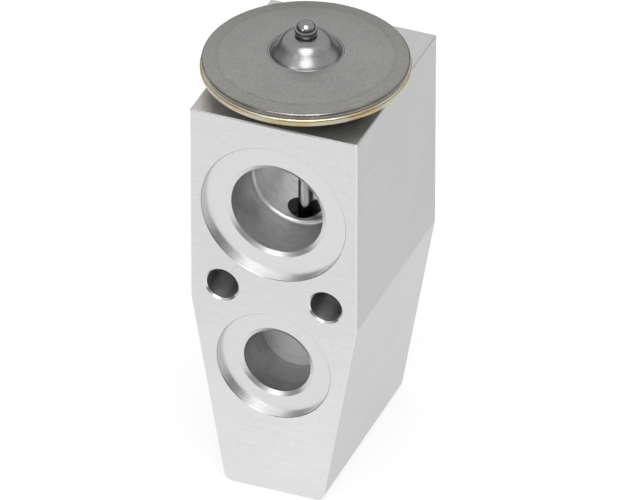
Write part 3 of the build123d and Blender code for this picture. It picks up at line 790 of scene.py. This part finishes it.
def screw_thread():
    """The adjusting screw with its thread's groove, which the solids leave plain."""
    piece = stand_in("adjusting_screw", "screw_with_thread")
    cutter = groove_cutter()
    cut = piece.modifiers.new("groove", "BOOLEAN")
    cut.operation = "DIFFERENCE"
    cut.solver = "EXACT"
    cut.object = cutter
    bpy.context.view_layer.update()
    evaluated = piece.evaluated_get(bpy.context.evaluated_depsgraph_get())
    mesh = bpy.data.meshes.new_from_object(evaluated)
    piece.modifiers.remove(cut)
    piece.data = mesh
    bpy.data.objects.remove(cutter)
    material = mesh.materials[0]
    mesh.materials.clear()
    mesh.materials.append(material)
    smooth(mesh)
    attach(piece, "screw")


def spring_follows():
    """A piece of the spring's form in its place, with its transform baked into its points."""
    piece = stand_in("superheat_spring", "spring_coil")
    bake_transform(piece)


def diaphragm_follows():
    """A piece of the diaphragm's form in its place, with its transform baked into its points."""
    piece = stand_in("diaphragm", "diaphragm_sheet")
    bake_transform(piece)


class Glow(Nodes):
    """A surface whose own light depends on the place and on the kind of ray that meets it."""

    def __init__(self, name):
        super().__init__(name)
        self.glow = self.node("ShaderNodeEmission")
        self.rays = self.node("ShaderNodeLightPath").outputs
        self.place = self.node("ShaderNodeNewGeometry").outputs["Position"]

    def shine(self, level):
        """Gives off light at this level and does nothing else."""
        self.feed(self.glow.inputs["Strength"], level)
        self.feed(self.output, self.glow.outputs[0])


def stage_mesh(name, points, faces, material):
    """An object of the set, which isn't part of the valve."""
    made = new_object(name, points, faces)
    made.data.materials.append(material)
    return made


def show_to_metal_alone(card):
    """Lets only reflected rays meet this object, so that it neither lights nor shades the part."""
    for kind in ("camera", "diffuse", "transmission", "volume_scatter", "shadow"):
        setattr(card, f"visible_{kind}", False)


def direction(azimuth, elevation):
    """From the part towards a place at this azimuth, counted from the front, and this elevation."""
    flat = math.cos(elevation)
    return Vector((math.sin(azimuth) * flat, -math.cos(azimuth) * flat, math.sin(elevation)))


def floor():
    """White floor that keeps a faint shadow. In the metal it grows dim with distance."""
    look = Glow("floor_finish")
    far = look.vector("LENGTH", look.place)
    reflected = look.rays["Is Glossy Ray"]
    straight = look.maths("MAXIMUM", look.rays["Is Camera Ray"], look.rays["Is Transmission Ray"])
    fading = look.ramp(far, *FLOOR_FADE, first=1.0, last=FLOOR_FAR)
    look.feed(look.glow.inputs["Strength"], look.maths("MAXIMUM", fading, straight))
    diffuse = look.node("ShaderNodeBsdfDiffuse")
    diffuse.inputs["Color"].default_value = (FLOOR_GREY, FLOOR_GREY, FLOOR_GREY, 1)
    seen = look.maths("MAXIMUM", straight, reflected)
    far_in_metal = look.times(look.ramp(far, *FLOOR_FADE), reflected)
    whiteness = look.maths("MAXIMUM", far_in_metal, FLOOR_WHITENESS)
    blend = look.node("ShaderNodeMixShader")
    shaders = (diffuse.outputs[0], look.glow.outputs[0])
    look.feed_all(blend.inputs, (look.times(seen, whiteness), *shaders))
    look.feed(look.output, blend.outputs[0])
    signs = ((-1, -1), (1, -1), (1, 1), (-1, 1))
    corners = [(x * FLOOR_HALF, y * FLOOR_HALF, -FLOOR_DROP) for x, y in signs]
    stage_mesh("studio_floor", corners, [(0, 1, 2, 3)], look.material)


def cards():
    """Dark cards round the set. Only shiny surfaces see them, and they cast no shade."""
    look = Glow("card_finish")
    _, y, z = look.split(look.place)
    behind = look.ramp(y, -CARD_SIDE, CARD_SIDE)
    in_front = look.maths("SUBTRACT", 1.0, behind)
    back = look.times(look.ramp(z, *CARD_BACK_FADE, first=CARD_DARK), behind)
    front = look.times(look.ramp(z, *CARD_FRONT_FADE, first=CARD_DARK), in_front)
    look.shine(look.add(back, front))
    points, faces = [], []
    for i in range(CARD_SIDES):
        turn = 2 * math.pi * i / CARD_SIDES
        for height in (0.0, CARD_HEIGHT):
            points.append((CARD_DISTANCE * math.cos(turn), CARD_DISTANCE * math.sin(turn), height))
        following = (i + 1) % CARD_SIDES
        faces.append((2 * i, 2 * following, 2 * following + 1, 2 * i + 1))
    show_to_metal_alone(stage_mesh("studio_cards", points, faces, look.material))


def window():
    """A pale opening among the cards, at the left of the camera."""
    look = Glow("window_finish")
    look.shine(WINDOW_RADIANCE)
    (left, right), (low, high) = WINDOW_AZIMUTH, WINDOW_ELEVATION
    corners = [(left, low), (right, low), (right, high), (left, high)]
    points = [WINDOW_DISTANCE * direction(azimuth, elevation) for azimuth, elevation in corners]
    show_to_metal_alone(stage_mesh("studio_window", points, [(0, 1, 2, 3)], look.material))


def room():
    """A plain white surround."""
    world = bpy.data.worlds.new("studio_room")
    world.use_nodes = True
    background = world.node_tree.nodes["Background"]
    background.inputs["Color"].default_value = (1, 1, 1, 1)
    background.inputs["Strength"].default_value = ROOM_RADIANCE
    bpy.context.scene.world = world


def softbox():
    """Round lamp above the camera, out of its sight, sized by its angle and radiance."""
    away = direction(CAMERA_AZIMUTH, SOFTBOX_ELEVATION)
    lamp = bpy.data.lights.new("softbox", "AREA")
    lamp.shape = "DISK"
    lamp.size = 2 * SOFTBOX_DISTANCE * math.tan(SOFTBOX_ANGLE / 2)
    lamp.energy = SOFTBOX_RADIANCE * math.pi * math.pi * (lamp.size / 2) ** 2
    holder = bpy.data.objects.new("softbox", lamp)
    holder.location = CAMERA_TARGET + SOFTBOX_DISTANCE * away
    holder.rotation_euler = away.to_track_quat("Z", "Y").to_euler()
    holder.visible_camera = False
    bpy.context.scene.collection.objects.link(holder)


def camera():
    """The photograph's view, from far away with a long lens."""
    data = bpy.data.cameras.new("photo_camera")
    data.sensor_width = SENSOR_WIDTH
    data.lens = LENS
    data.clip_end = CAMERA_REACH
    holder = bpy.data.objects.new("photo_camera", data)
    back = direction(CAMERA_AZIMUTH, CAMERA_ELEVATION)
    holder.location = CAMERA_TARGET + CAMERA_DISTANCE * back
    holder.rotation_euler = back.to_track_quat("Z", "Y").to_euler()
    bpy.context.scene.collection.objects.link(holder)
    bpy.context.scene.camera = holder


bpy.context.scene.view_settings.view_transform = "Standard"
camera()
dress_nodes()
screw_thread()
spring_follows()
diaphragm_follows()
floor()
cards()
window()
room()
softbox()
